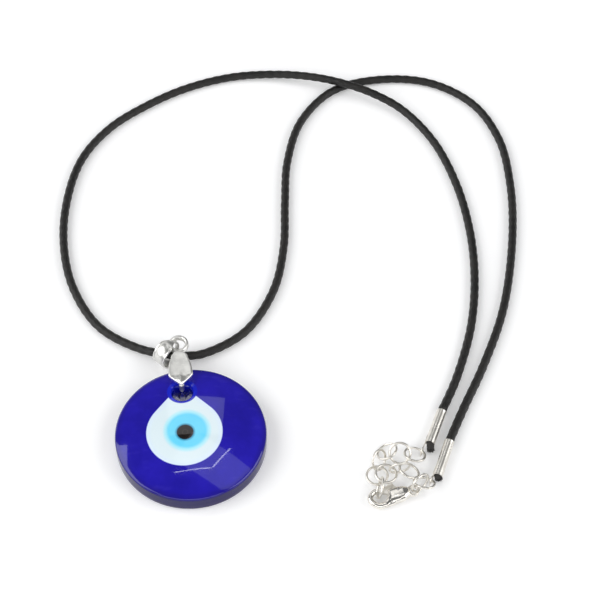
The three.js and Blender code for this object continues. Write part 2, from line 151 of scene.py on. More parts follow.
def smooth_line(points, step):
    """A centripetal Catmull-Rom curve through the points, with a point every step."""
    p = np.asarray(points, float)
    p = np.vstack([2 * p[0] - p[1], p, 2 * p[-1] - p[-2]])
    out = []
    for a, b, c, d in zip(p, p[1:], p[2:], p[3:]):
        t = np.cumsum([0, *(np.linalg.norm(v - u) ** 0.5 for u, v in ((a, b), (b, c), (c, d)))])
        s = np.linspace(t[1], t[2], 60, endpoint=False)[:, None]
        ab = (t[1] - s) / (t[1] - t[0]) * a + (s - t[0]) / (t[1] - t[0]) * b
        bc = (t[2] - s) / (t[2] - t[1]) * b + (s - t[1]) / (t[2] - t[1]) * c
        cd = (t[3] - s) / (t[3] - t[2]) * c + (s - t[2]) / (t[3] - t[2]) * d
        abc = (t[2] - s) / (t[2] - t[0]) * ab + (s - t[0]) / (t[2] - t[0]) * bc
        bcd = (t[3] - s) / (t[3] - t[1]) * bc + (s - t[1]) / (t[3] - t[1]) * cd
        out.append((t[2] - s) / (t[2] - t[1]) * abc + (s - t[1]) / (t[2] - t[1]) * bcd)
    line = np.vstack([*out, p[-2]])
    run = np.concatenate([[0], np.cumsum(np.linalg.norm(np.diff(line, axis=0), axis=1))])
    even = np.linspace(0, run[-1], max(3, round(run[-1] / step)))
    return np.stack([np.interp(even, run, line[:, k]) for k in range(3)], 1), run[-1]


# %% [markdown]
# ## Shader tools
# A finish is easier to read as an expression than as a web of nodes. `Reading` wraps an
# output socket so that plain arithmetic on it adds the Math nodes, and `Finish` adds any
# other node from its type, its settings and its inputs.

# %% Shader tools
class Reading:
    """A value in a material. Arithmetic on it adds Math nodes."""

    def __init__(self, finish, socket):
        self.finish, self.socket = finish, socket

    def maths(self, operation, *others):
        terms = {0: self, **dict(enumerate(others, 1))}
        made = self.finish.node("ShaderNodeMath", {"operation": operation}, terms)
        return Reading(self.finish, made.outputs[0])

    def __add__(self, other):
        return self.maths("ADD", other)

    def __sub__(self, other):
        return self.maths("SUBTRACT", other)

    def __rsub__(self, other):
        return self.maths("MULTIPLY_ADD", -1.0, other)

    def __mul__(self, other):
        return self.maths("MULTIPLY", other)

    __radd__ = __add__
    __rmul__ = __mul__

    def between(self, low, high):
        """0 below low, 1 above high, and smooth between them."""
        settings = {"interpolation_type": "SMOOTHSTEP"}
        made = self.finish.node("ShaderNodeMapRange", settings, {0: self, 1: low, 2: high, 3: 0.0, 4: 1.0})
        return Reading(self.finish, made.outputs[0])


class Finish:
    """One procedural material, built up by method calls."""

    def __init__(self, name):
        self.material = bpy.data.materials.new(name)
        self.material.use_nodes = True
        self.tree = self.material.node_tree
        self.tree.nodes.clear()
        self.place = Reading(self, self.node("ShaderNodeTexCoord").outputs["Object"])

    def node(self, kind, settings=None, inputs=None):
        made = self.tree.nodes.new(kind)
        for key, value in (settings or {}).items():
            if key == "stops":
                ramp = made.color_ramp.elements
                while len(ramp) < len(value):
                    ramp.new(0.5)
                for element, (position, colour) in zip(ramp, value):
                    element.position, element.color = position, (*colour, 1.0)
            else:
                setattr(made, key, value)
        for key, value in (inputs or {}).items():
            if isinstance(value, Reading):
                self.tree.links.new(value.socket, made.inputs[key])
            else:
                made.inputs[key].default_value = value
        return made

    def noise(self, scale, detail=3.0, roughness=0.5, stretch=(1, 1, 1), at=None):
        """Noise, with its scale in features to the metre."""
        held = self.node("ShaderNodeMapping", None, {"Vector": at or self.place, "Scale": stretch})
        inputs = {"Vector": Reading(self, held.outputs[0]), "Scale": scale,
                  "Detail": detail, "Roughness": roughness}
        return Reading(self, self.node("ShaderNodeTexNoise", None, inputs).outputs[0])

    def parts(self, vector):
        made = self.node("ShaderNodeSeparateXYZ", None, {0: vector})
        return [Reading(self, made.outputs[k]) for k in range(3)]

    def in_frame(self, frame_mm):
        """The place on the piece in a part's own frame, in millimetres."""
        turn = frame_mm.to_euler()
        centre = frame_mm.translation * 0.001
        moved = self.node("ShaderNodeVectorMath", {"operation": "SUBTRACT"}, {0: self.place, 1: centre})
        settings = {"rotation_type": "EULER_XYZ", "invert": True}
        inputs = {"Vector": Reading(self, moved.outputs[0]), "Rotation": turn}
        turned = self.node("ShaderNodeVectorRotate", settings, inputs)
        inputs = {0: Reading(self, turned.outputs[0]), "Scale": 1000.0}
        grown = self.node("ShaderNodeVectorMath", {"operation": "SCALE"}, inputs)
        return self.parts(Reading(self, grown.outputs[0]))

    def reach(self, x, y, centre=(0.0, 0.0)):
        """The distance from a centre, in the units of x and y."""
        across, up = x - centre[0], y - centre[1]
        return (across * across + up * up).maths("SQRT")

    def mix(self, share, a, b):
        made = self.node("ShaderNodeMix", {"data_type": "RGBA"}, {0: share, 6: paint(a), 7: paint(b)})
        return Reading(self, made.outputs[2])

    def bump(self, height, distance, strength=1.0, under=None):
        inputs = {"Height": height, "Distance": distance, "Strength": strength}
        if under:
            inputs["Normal"] = under
        return Reading(self, self.node("ShaderNodeBump", None, inputs).outputs[0])

    def surface(self, **sockets):
        """The Principled shader. Its sockets are named with _ for a space."""
        inputs = {key.replace("_", " "): paint(value) for key, value in sockets.items()}
        shader = self.node("ShaderNodeBsdfPrincipled", None, inputs)
        self.node("ShaderNodeOutputMaterial", None, {0: Reading(self, shader.outputs[0])})
        return self.material


def paint(value):
    """A colour of three numbers gets its alpha; anything else is left as it is."""
    return (*value, 1.0) if isinstance(value, tuple) and len(value) == 3 else value


# %% [markdown]
# ## The studio
# A small shiny object is lit by what it mirrors. Three broad boxes stand left, right and in
# front. An overhead one makes the soft patch on the dome and two thin strips its bright
# line. Two more behind are there for the flat metal, and the dim room keeps it dark between
# them. The floor glows a little, so that it stays white.

# %% Camera, floor and lights
scene = bpy.context.scene
camera = bpy.data.objects.new("camera", bpy.data.cameras.new("camera"))
camera.location = (0.0216, -0.1866, 0.3056)
camera.rotation_euler = (math.radians(36.0), 0.0, 0.0)
camera.data.lens, camera.data.sensor_width = 107.4, 36.0
camera.data.clip_start, camera.data.clip_end = 0.01, 50.0
scene.collection.objects.link(camera)
scene.camera = camera
scene.view_settings.view_transform = "Standard"

floor_finish = Finish("white_table")
grain = floor_finish.noise(900.0, 4.0)
white_table = floor_finish.surface(
    Base_Color=floor_finish.mix(grain, (0.90, 0.90, 0.905), (0.93, 0.93, 0.93)),
    Roughness=grain * 0.1 + 0.55,
    Specular_IOR_Level=0.2,
    Emission_Color=(1.0, 1.0, 1.0),
    Emission_Strength=0.15,
)
bpy.ops.mesh.primitive_plane_add(size=6.0, location=(0.02, 0.04, -0.00002))
table = bpy.context.object
table.name = "table_top"
table.data.materials.append(white_table)


SOFT_BOXES = [  # name, place, aim, width, height, power
    ("overhead_box", (0.13, 0.20, 0.95), (0, 0, 0), 0.56, 0.28, 0.42),
    ("strip_across", (-0.02, 0.14, 0.93), (0, 0, 0), 0.26, 0.008, 0.05),
    ("strip_along", (0.17, 0.24, 0.90), (0, 0, 0), 0.010, 0.20, 0.045),
    ("back_box", (-0.02, 0.60, 0.83), (0, 0, 0), 0.38, 0.36, 0.45),
    ("low_back_box", (-0.65, 0.95, 0.32), (0.02, 0.02, 0), 1.0, 0.6, 1.9),
    ("left_box", (-1.0, -0.1, 0.75), (0.02, 0.02, 0), 1.3, 1.2, 13.0),
    ("right_box", (1.05, -0.2, 0.7), (0.02, 0.02, 0), 1.1, 1.0, 9.0),
    ("front_box", (0.0, -1.15, 0.7), (0.02, 0.02, 0), 1.8, 0.6, 7.0),
]
for name, place, aim, width, height, power in SOFT_BOXES:
    lamp = bpy.data.objects.new(name, bpy.data.lights.new(name, "AREA"))
    lamp.data.shape, lamp.data.size, lamp.data.size_y = "RECTANGLE", width, height
    lamp.data.energy = power
    lamp.location = place
    lamp.rotation_euler = (Vector(aim) - Vector(place)).to_track_quat("-Z", "Y").to_euler()
    scene.collection.objects.link(lamp)
world = bpy.data.worlds.new("room")
world.use_nodes = True
world.node_tree.nodes["Background"].inputs[0].default_value = (0.95, 0.97, 1.0, 1.0)
world.node_tree.nodes["Background"].inputs[1].default_value = 0.17
scene.world = world
print("camera at", tuple(camera.location), "lens", camera.data.lens)

# %% [markdown]
# ## The cord
# The cord is cotton braid soaked in wax. It is a fixed length of something limp, so its
# line comes first: out of one crimp, round the big loop, over itself in a long low hump,
# through the hoop, and back to the other crimp. A curve with a round bevel would give a
# smooth rubber string. Here the tube is built from rings of points instead, because the
# strands of a braid can then be raised on it, crossing over and under each other.

# %% The line of the cord
CORD_RADIUS = 0.9
CORD_ROUTE = [
    (51.4, 9.9, 0.9), (53.7, 15.6, 0.9), (57.2, 28.0, 0.9), (58.7, 41.0, 0.9), (58.3, 54.0, 0.9),
    (55.9, 67.2, 0.9), (51.4, 79.2, 0.95), (44.9, 87.8, 1.5), (38.6, 91.8, 2.4),
    (31.6, 94.6, 3.0), (23.8, 97.2, 2.5), (15.0, 98.8, 1.5), (5.5, 98.4, 0.92), (-4.5, 95.0, 0.9),
    (-13.5, 89.6, 0.9), (-21.3, 82.9, 0.9), (-26.9, 74.0, 0.9), (-29.4, 62.5, 0.9),
    (-29.3, 50.0, 0.9), (-26.4, 38.0, 0.9), (-20.2, 27.8, 0.95), (-11.8, 22.2, 1.35),
    (-5.4, 19.95, 2.3), (-2.2, 19.9, 1.95), (1.6, 20.8, 1.3), (10.0, 26.4, 0.95),
    (15.9, 37.0, 0.9), (18.1, 49.0, 0.9), (18.3, 61.0, 0.9), (18.8, 73.0, 0.9), (22.0, 85.2, 0.9),
    (29.3, 94.3, 0.9), (39.6, 97.7, 0.9), (51.4, 96.7, 0.9), (61.0, 90.2, 0.9), (66.3, 79.7, 0.9),
    (68.0, 66.5, 0.9), (67.4, 51.0, 0.9), (64.2, 32.4, 0.9), (59.3, 18.4, 0.9), (54.2, 6.9, 0.9),
]


def crimp_frame(end):
    """A crimp's own frame: mouth at the origin, its length along X, its eye's side at -Z."""
    return placed(*CRIMPS[end]["mouth"], CRIMP_HEIGHT, CRIMPS[end]["heading"], -90)


def in_crimp(end, run, aside=0.0):
    return crimp_frame(end) @ Vector((run, 0, aside))


ends = [in_crimp("a", 0.9), in_crimp("a", -0.3)], [in_crimp("b", -0.3), in_crimp("b", 0.9)]
cord_line, cord_length = smooth_line([*ends[0], *CORD_ROUTE, *ends[1]], 0.27)
print("cord, mm:", round(cord_length, 1), "points:", len(cord_line))

# %% [markdown]
# ## Waxed cord finish
# The braid is raised in the mesh, and the finish adds what is too fine for it: the yarns
# in each strand, and the wax, which fills the grooves and leaves some places duller. Both
# need to follow the cord, so they read a UV map with one turn across and millimetres along.

# %% Waxed cord finish
def cord_finish():
    waxed = Finish("waxed_braid")
    uv = Reading(waxed, waxed.node("ShaderNodeUVMap", {"uv_map": "braid"}).outputs[0])
    turn, run, _ = waxed.parts(uv)
    yarns = ((turn * 6.0 + run * 0.42) * 18.85).maths("SINE") * 0.5 + 0.5
    back_yarns = ((turn * 6.0 - run * 0.42) * 18.85).maths("SINE") * 0.5 + 0.5
    wax = waxed.noise(420.0, 4.0, 0.6)
    fluff = waxed.noise(6000.0, 2.0, 0.6)
    dull = wax.between(0.35, 0.72)
    colour = waxed.mix(dull, (0.003, 0.0028, 0.0024), (0.011, 0.0095, 0.008))
    colour = waxed.mix(fluff.between(0.62, 0.8) * 0.35, colour, (0.06, 0.055, 0.05))
    return waxed.surface(
        Base_Color=colour,
        Roughness=dull * 0.2 + fluff * 0.12 + 0.24,
        Normal=waxed.bump(yarns * back_yarns + fluff * 0.5, 0.00006, 0.7),
        Specular_IOR_Level=0.42,
    )


waxed_braid = cord_finish()

# %% The braided cord
CORD_SIDES, CARRIERS, BRAID_PITCH = 32, 3, 4.2


def braid_lift(turn, run):
    """How far the braid stands out: two sets of strands that pass over and under."""
    right = turn * CARRIERS + run / BRAID_PITCH
    left = turn * CARRIERS - run / BRAID_PITCH
    weave = np.sin(2 * np.pi * (right + left)) * 0.5
    over = np.abs(np.cos(np.pi * right * 2)) * (1 + weave)
    under = np.abs(np.cos(np.pi * left * 2)) * (1 - weave)
    return np.maximum(over, under)


def braided_cord():
    run = np.linspace(0, cord_length, len(cord_line))
    turn = np.arange(CORD_SIDES) / CORD_SIDES
    lift = braid_lift(turn[None], run[:, None])
    mouth = np.minimum(run, cord_length - run)
    squeeze = 0.78 + 0.22 * np.clip((mouth - 0.85) / 0.5, 0, 1)
    radius = (CORD_RADIUS - 0.12 + 0.09 * lift) * squeeze[:, None]
    tube = along(cord_line, circle(1.0, CORD_SIDES))
    tube = cord_line[:, None] + (tube - cord_line[:, None]) * radius[..., None]
    made = piece("waxed_neck_cord", [skin(tube)], "cord_and_ends", waxed_braid, crisp=80,
                 stands_for=["neck_cord"])
    layer = made.data.uv_layers.new(name="braid")
    rows = np.array([v.index for v in made.data.vertices])
    corner = np.zeros(len(made.data.loops), int)
    made.data.loops.foreach_get("vertex_index", corner)
    row, side = rows[corner] // CORD_SIDES, rows[corner] % CORD_SIDES
    share = side / CORD_SIDES
    for face in made.data.polygons:
        held = slice(face.loop_start, face.loop_start + face.loop_total)
        if face.loop_total == 4 and share[held].max() - share[held].min() > 0.5:
            share[held] = np.where(share[held] < 0.5, share[held] + 1, share[held])
    layer.data.foreach_set("uv", np.stack([share, run[row]], 1).ravel())
    return made


cord = braided_cord()

# %% [markdown]
# ## Cut ends of the cord
# Beyond each crimp a stub of cord shows, cut across and opened out. Its braid has come
# loose, so it is a short flared plug with a crown of single yarns standing out of it.

# %% Cut ends
STUB_RADIUS = 0.62
GOLDEN_TURN = 2.399963  # spreads points evenly over a disc


def cut_end(end, seed):
    crimp = CRIMPS[end]
    rng = random.Random(seed)
    start = in_crimp(end, crimp["length"] - 0.5)
    stop = in_crimp(end, crimp["length"] + crimp["tip"], crimp["rise"])
    stop = start + (stop - start) * 0.9
    line = np.linspace(start, stop, 9)
    bulge = np.linspace(0, 1, 9)
    flare = 1.0 + 0.22 * np.sin(bulge * 2.4) + 0.05 * np.sin(bulge * 17)
    shells = [skin(along(line, circle(STUB_RADIUS, 20), flare))]
    ahead = (stop - start).normalized()
    side = ahead.cross(Vector((0, 0, 1))).normalized()
    rise = side.cross(ahead)
    for k in range(46):
        angle, out = k * GOLDEN_TURN, STUB_RADIUS * math.sqrt((k + 0.5) / 46)
        foot = stop - ahead * 0.25 + (side * math.cos(angle) + rise * math.sin(angle)) * out
        lean = (side * math.cos(angle) + rise * math.sin(angle)) * out * rng.uniform(0.1, 0.5)
        tip = foot + ahead * rng.uniform(0.34, 0.52) + lean
        tip += Vector([rng.uniform(-0.05, 0.05) for _ in range(3)])
        middle = foot.lerp(tip, 0.55) + lean * 0.25
        line = np.array([foot, middle, tip])
        shells.append(skin(along(line, circle(0.055, 5), [1.0, 0.9, 0.55], up=(0.1, 0.2, 1))))
    return piece(f"cut_cord_end_{end}", shells, "cord_and_ends", fibre_finish, crisp=60)


def fibres():
    loose = Finish("loose_cord_fibres")
    fluff = loose.noise(5200.0, 4.0, 0.65)
    return loose.surface(
        Base_Color=loose.mix(fluff, (0.006, 0.005, 0.0045), (0.034, 0.03, 0.027)),
        Roughness=fluff * 0.25 + 0.6,
        Normal=loose.bump(fluff, 0.00008, 0.8),
        Sheen_Weight=0.1,
    )


fibre_finish = fibres()
stubs = [cut_end("a", 3), cut_end("b", 8)]

# %% [markdown]
# ## Metal finishes
# Everything metal is plated in the same pale, slightly warm colour. Polish shows handling:
# faint cloudy patches, hairline scratches, and a soft waviness left by the tumbling drum.
# One function makes the variants, from the mirror-bright rings to the satin clip.

# %% Metal finishes
def plating(name, colour, rough, spread, scratch=0.5, wave=0.4):
    metal = Finish(name)
    cloud = metal.noise(700.0, 3.0, 0.55)
    hair = metal.noise(1300.0, 2.0, 0.5, (1.0, 5.0, 2.0))
    ripple = metal.noise(520.0, 1.0)
    shade = tuple(0.82 * c for c in colour)
    return metal.surface(
        Base_Color=metal.mix(cloud.between(0.3, 0.75), colour, shade),
        Metallic=1.0,
        Roughness=cloud * spread + hair.between(0.55, 0.8) * 0.05 + rough,
        Normal=metal.bump(hair, 0.000006 * scratch, 0.6, metal.bump(ripple, 0.00012 * wave, 0.5)),
    )


bright_plate = plating("bright_plating", (0.84, 0.81, 0.75), 0.24, 0.08, 0.2, 0.04)
satin_plate = plating("satin_plating", (0.86, 0.855, 0.82), 0.26, 0.12, 0.6, 0.2)
cast_plate = plating("cast_plating", (0.86, 0.83, 0.775), 0.12, 0.10, 0.4, 0.25)
dull_steel = plating("spring_steel", (0.52, 0.51, 0.50), 0.26, 0.16, 0.8, 0.2)

# %% [markdown]
# ## Glass finishes
# The disc is poured cobalt glass with blobs of white, turquoise and black glass pressed
# into it while hot. Such glass is so deep in colour that it reads as solid, with its gloss
# on top, so a clear coat over a deep body colour is sturdier than real refraction. What
# shows that it is glass is drawn in, some of it as painted light: a painted glow of light
# through the thin lip round the hole, painted shade towards the rim and on the side wall, a
# painted reflection of the white floor at the foot of that wall, a little cloudiness, and
# each inner colour bleeding into the one round it.

# %% Glass finishes
WHITE_RADIUS, WHITE_CENTRE, WHITE_POINT = 7.55, (-1.25, -0.3), (0.0, HOLE_OUT + 1.7)
IRIS_RADIUS, IRIS_CENTRE = 4.3, (-0.7, -0.3)
PUPIL_RADIUS, PUPIL_CENTRE = 1.65, (-1.15, -0.65)


def gloss(finish, colour, haze, coat=1.0):
    """Poured glass: a glossy coat, slow waves in the surface, and a few tiny pits."""
    wave = finish.noise(95.0, 2.0)
    pits = finish.noise(2300.0, 1.0).between(0.74, 0.86)
    return finish.surface(
        Base_Color=colour,
        Roughness=haze * 0.1 + pits * 0.2 + 0.06,
        Coat_Weight=coat,
        Coat_Roughness=0.025,
        Specular_IOR_Level=0.08,
        IOR=1.5,
        Normal=finish.bump(pits, -0.00002, 0.5, finish.bump(wave, 0.0007, 0.22)),
    )


def cobalt_finish():
    cobalt = Finish("cobalt_glass_finish")
    x, y, z = cobalt.in_frame(GLASS)
    out = cobalt.reach(x, y)
    hole = cobalt.reach(x, y, (0.0, HOLE_OUT))
    cloud = cobalt.noise(120.0, 4.0, 0.6)
    swirl = cobalt.noise(260.0, 3.0, 0.5, (1.0, 2.6, 1.0))
    colour = cobalt.mix(cloud.between(0.3, 0.75), (0.009, 0.004, 0.30), (0.016, 0.008, 0.42))
    colour = cobalt.mix(swirl.between(0.55, 0.8) * 0.25, colour, (0.045, 0.03, 0.44))
    # Painted shade: the glass is painted darker towards its rim.
    colour = cobalt.mix(out.between(13.4, 14.9) * 0.55, colour, (0.010, 0.005, 0.15))
    # Painted light: the thin lip round the hole is painted a clearer, lighter blue for light coming through
    # it.
    colour = cobalt.mix(1.0 - hole.between(2.95, 3.1), colour, (0.006, 0.014, 0.52))
    # Painted shade: the side wall is painted nearly black.
    side = out.between(14.62, 14.95) * (1.0 - z.between(3.2, 3.9))
    colour = cobalt.mix(side * 0.85, colour, (0.008, 0.005, 0.045))
    # Painted reflection: low on the side wall a greyish purple stands for the white floor mirrored there.
    colour = cobalt.mix(side * (1.0 - z.between(0.2, 2.4)) * 0.2, colour, (0.05, 0.035, 0.10))
    return gloss(cobalt, colour, cloud, 1.0 - side * 0.75)


def white_finish():
    opal = Finish("opal_white_glass")
    x, y, _ = opal.in_frame(GLASS)
    inside = WHITE_RADIUS - opal.reach(x, y, WHITE_CENTRE)
    to_point = Vector(WHITE_POINT) - Vector(WHITE_CENTRE)
    spread = math.acos(WHITE_RADIUS / to_point.length)
    heading = math.atan2(to_point.y, to_point.x)
    flanks = []
    for turn in (heading + spread, heading - spread):
        square = (math.cos(turn), math.sin(turn))
        flanks.append(WHITE_RADIUS - ((x - WHITE_CENTRE[0]) * square[0] + (y - WHITE_CENTRE[1]) * square[1]))
    ahead = to_point.normalized()
    past = (x - WHITE_CENTRE[0]) * ahead.x + (y - WHITE_CENTRE[1]) * ahead.y - WHITE_RADIUS * math.cos(spread)
    edge = inside.maths("MAXIMUM", flanks[0].maths("MINIMUM", flanks[1]).maths("MINIMUM", past))
    cloud = opal.noise(240.0, 3.0)
    colour = opal.mix(cloud * 0.5, (0.70, 0.83, 0.88), (0.78, 0.87, 0.90))
    colour = opal.mix(1.0 - edge.between(0.0, 1.3), colour, (0.70, 0.82, 0.96))
    colour = opal.mix(1.0 - edge.between(-0.05, 0.16), colour, (0.16, 0.16, 0.62))
    near = opal.reach(x, y, IRIS_CENTRE) - IRIS_RADIUS
    colour = opal.mix(1.0 - near.between(-0.1, 0.7), colour, (0.42, 0.82, 0.93))
    hole = opal.reach(x, y, (0.0, HOLE_OUT))
    # Painted light: round the hole the white is painted the same clear, lit blue as the cobalt lip.
    colour = opal.mix(1.0 - hole.between(2.95, 3.15), colour, (0.006, 0.014, 0.52))
    return gloss(opal, colour, cloud)


def iris_finish():
    turquoise = Finish("turquoise_glass_finish")
    x, y, _ = turquoise.in_frame(GLASS)
    out = turquoise.reach(x, y, IRIS_CENTRE)
    near = turquoise.reach(x, y, PUPIL_CENTRE)
    cloud = turquoise.noise(420.0, 3.0)
    colour = turquoise.mix(cloud, (0.12, 0.64, 0.93), (0.17, 0.70, 0.95))
    colour = turquoise.mix(out.between(3.55, 4.35), colour, (0.42, 0.82, 0.93))
    colour = turquoise.mix(1.0 - near.between(1.55, 2.2), colour, (0.03, 0.20, 0.34))
    return gloss(turquoise, colour, cloud)


def pupil_finish():
    dark = Finish("dark_glass_finish")
    x, y, _ = dark.in_frame(GLASS)
    out = dark.reach(x, y, PUPIL_CENTRE)
    cloud = dark.noise(700.0, 3.0)
    colour = dark.mix(cloud, (0.004, 0.003, 0.002), (0.012, 0.007, 0.005))
    # Painted reflection: a faint lighter ring in the pupil stands for a glint on the dark glass.
    painted_glint_ring = out.between(0.35, 0.5) * (1.0 - out.between(0.55, 0.75)) * 0.25
    colour = dark.mix(painted_glint_ring, colour, (0.07, 0.05, 0.04))
    colour = dark.mix(out.between(1.4, 1.7) * 0.7, colour, (0.02, 0.07, 0.11))
    return gloss(dark, colour, cloud)


# %% [markdown]
# ## The fused eye
# The disc is turned from its profile, and each inner blob is cut from the same dome, so
# that all four fit with no step. A cut leaves long thin triangles, which would show as
# creases in the gloss. The dome's true direction at each corner is known, though, so it
# is written over the mesh's own normals.

# %% Glass shapes
DOME_EDGE = DISC_RADIUS - EDGE_ROUND
DOME_SPHERE = (DOME_EDGE ** 2 + (DOME_HEIGHT - RIM_HEIGHT) ** 2) / (2 * (DOME_HEIGHT - RIM_HEIGHT))


def dome_at(r):
    return DOME_HEIGHT - DOME_SPHERE + np.sqrt(DOME_SPHERE ** 2 - np.square(r))


def lathed(profile, sides, centre=(0.0, 0.0)):
    """A closed solid turned about Z from a profile that starts and ends on the axis."""
    made = bmesh.new()
    ring = circle(1.0, sides)
    rows = []
    for r, z in profile:
        spots = [(centre[0] + r * c, centre[1] + r * s, z) for c, s in ring]
        if r < 1e-6:
            spots = [(centre[0], centre[1], z)]
        rows.append([made.verts.new(p) for p in spots])
    for low, high in zip(rows, rows[1:]):
        for k in range(sides):
            corners = [low[k % len(low)], low[(k + 1) % len(low)],
                       high[(k + 1) % len(high)], high[k % len(high)]]
            made.faces.new(list(dict.fromkeys(corners)))
    bmesh.ops.recalc_face_normals(made, faces=made.faces)
    return held_mesh(made)


def plate(outline, low, high):
    """The shell of a straight-sided plate over an outline."""
    return skin([[(x, y, low) for x, y in outline], [(x, y, high) for x, y in outline]])


def rough(shells):
    """Shells gathered in one mesh, facing outward but not welded."""
    made = bmesh.new()
    for points, faces in shells:
        corners = [made.verts.new(p) for p in points]
        for face in faces:
            made.faces.new([corners[k] for k in face])
    bmesh.ops.recalc_face_normals(made, faces=made.faces)
    return held_mesh(made)


def upright(outline, low, high):
    """A straight-sided solid over an outline."""
    return rough([plate(outline, low, high)])


def held_mesh(made):
    mesh = bpy.data.meshes.new("blank")
    made.to_mesh(mesh)
    made.free()
    return bpy.data.objects.new("blank", mesh)


def carved(blank, *cuts):
    """The blank with each (operation, tool) applied in turn, as a plain mesh."""
    scene.collection.objects.link(blank)
    for operation, tool in cuts:
        scene.collection.objects.link(tool)
        step = blank.modifiers.new("cut", "BOOLEAN")
        step.operation, step.solver, step.object = operation, "EXACT", tool
    shape = bpy.data.meshes.new_from_object(blank.evaluated_get(bpy.context.evaluated_depsgraph_get()))
    for thing in (blank, *(tool for _, tool in cuts)):
        bpy.data.objects.remove(thing)
    return shape


def glass_blank():
    profile = [(0, 0), (DISC_RADIUS - 0.5, 0)]
    for a in np.radians([18, 36, 54, 72, 90]):
        profile.append((DISC_RADIUS - 0.5 + 0.5 * math.sin(a), 0.5 - 0.5 * math.cos(a)))
    profile += [(DISC_RADIUS, 0.5 + a) for a in (0.9, 1.8, 2.5)]
    for a in np.radians([0, 12, 24, 36, 48, 60, 72]):
        profile.append((DOME_EDGE + EDGE_ROUND * math.cos(a), RIM_HEIGHT - EDGE_ROUND * (1 - math.sin(a))))
    profile += [(DOME_EDGE * s, float(dome_at(DOME_EDGE * s))) for s in np.linspace(0.99, 0.02, 40)]
    profile.append((0, DOME_HEIGHT))
    return lathed(profile, 180)


def hole_tool():
    lip = float(dome_at(HOLE_OUT)) + 0.35
    profile = [(0, -1), (HOLE_RADIUS + 0.45, -1), (HOLE_RADIUS + 0.45, -0.02)]
    profile += [(HOLE_RADIUS + 0.12, 0.18), (HOLE_RADIUS, 0.5)]
    for a in np.radians(np.arange(0, 91, 10)):
        profile.append((HOLE_RADIUS + 0.75 * (1 - math.cos(a)), lip - 1.5 + 1.5 * math.sin(a)))
    return lathed(profile + [(HOLE_RADIUS + 1.2, 9), (0, 9)], 72, (0.0, HOLE_OUT))


def white_outline():
    to_point = Vector(WHITE_POINT) - Vector(WHITE_CENTRE)
    spread = math.acos(WHITE_RADIUS / to_point.length)
    heading = math.atan2(to_point.y, to_point.x)
    turns = np.linspace(heading + spread, heading - spread + 2 * math.pi, 120)
    (x, y), r = WHITE_CENTRE, WHITE_RADIUS
    return [*((x + r * math.cos(t), y + r * math.sin(t)) for t in turns), WHITE_POINT]


def disc_of(radius, centre, floor):
    return upright(circle(radius, 96) + np.array(centre), floor, 9.0)


def glass_piece(name, mesh, node, material):
    """Puts a carved glass mesh in its place and gives its dome true normals."""
    mesh.transform(Matrix.Scale(0.001, 4) @ GLASS)
    thing = settle(bpy.data.objects.new(name, mesh), "disc", material, 30, [node])
    mesh = thing.data
    turn = GLASS.to_3x3()
    back = GLASS.inverted()
    normals = [Vector(c.vector) for c in mesh.corner_normals]
    for face in mesh.polygons:
        for k in face.loop_indices:
            spot = back @ (mesh.vertices[mesh.loops[k].vertex_index].co * 1000)
            r = math.hypot(spot.x, spot.y)
            if r <= DOME_EDGE + 0.01 and abs(spot.z - dome_at(r)) < 0.01:
                true = turn @ Vector((spot.x, spot.y, spot.z - DOME_HEIGHT + DOME_SPHERE)).normalized()
                if true.dot(face.normal) > 0.97:
                    normals[k] = true
    mesh.normals_split_custom_set(normals)
    return thing


top_white, top_iris, top_pupil = DOME_HEIGHT - 2.1, DOME_HEIGHT - 1.5, DOME_HEIGHT - 0.9
disc_mesh = carved(glass_blank(), ("DIFFERENCE", upright(white_outline(), top_white, 9)),
                   ("DIFFERENCE", hole_tool()))
white_mesh = carved(glass_blank(), ("INTERSECT", upright(white_outline(), top_white, 9)),
                    ("DIFFERENCE", disc_of(IRIS_RADIUS, IRIS_CENTRE, top_iris)), ("DIFFERENCE", hole_tool()))
iris_mesh = carved(glass_blank(), ("INTERSECT", disc_of(IRIS_RADIUS, IRIS_CENTRE, top_iris)),
                   ("DIFFERENCE", disc_of(PUPIL_RADIUS, PUPIL_CENTRE, top_pupil)))
pupil_mesh = carved(glass_blank(), ("INTERSECT", disc_of(PUPIL_RADIUS, PUPIL_CENTRE, top_pupil)))
glass_piece("cobalt_glass_disc", disc_mesh, "glass_disc", cobalt_finish())
glass_piece("white_glass_drop", white_mesh, "eye_white", white_finish())
glass_piece("turquoise_glass_ring", iris_mesh, "eye_iris", iris_finish())
glass_piece("dark_glass_pupil", pupil_mesh, "eye_pupil", pupil_finish())

# %% [markdown]
# ## The crimps
# Each end of the cord is held in a strip of thin metal folded round it from both sides. The
# two long edges meet in a seam, the mouth end flares out a little, and the press has left a
# shallow pinch across the middle. A tongue at the far end carries an eye for a ring.

# %% Crimps
SEAM_TURN = 0.5


def folded_section(radius, wall, seam=0.07, sides=96):
    """A C-shaped section whose two edges roll in to a seam, SEAM_TURN round from +Y."""
    gap = seam / radius
    turns = np.linspace(np.pi / 2 + gap, np.pi * 2.5 - gap, sides) + SEAM_TURN
    roll = np.abs(np.linspace(-1, 1, sides)) ** 22 * 0.12
    outer = np.stack([(radius - roll) * np.cos(turns), (radius - roll) * np.sin(turns)], 1)
    inside = radius - wall - roll
    inner = np.stack([inside * np.cos(turns), inside * np.sin(turns)], 1)[::-1]
    return np.vstack([outer, inner])


def ring_shell(radius, wire, centre=(0, 0, 0), turned_by=Matrix(), sides=14, steps=48, squash=1.0):
    spots = circle(radius, steps)
    line = np.stack([spots[:, 0], spots[:, 1], np.zeros(steps)], 1)
    section = circle(wire, sides) * np.array([1.0, squash])
    points, faces = skin(along(line, section, wrap=True), wrap=True)
    return [Vector(centre) + turned_by @ Vector(p) for p in points], faces


CRIMP_RADIUS, CRIMP_WALL = 1.05, 0.24


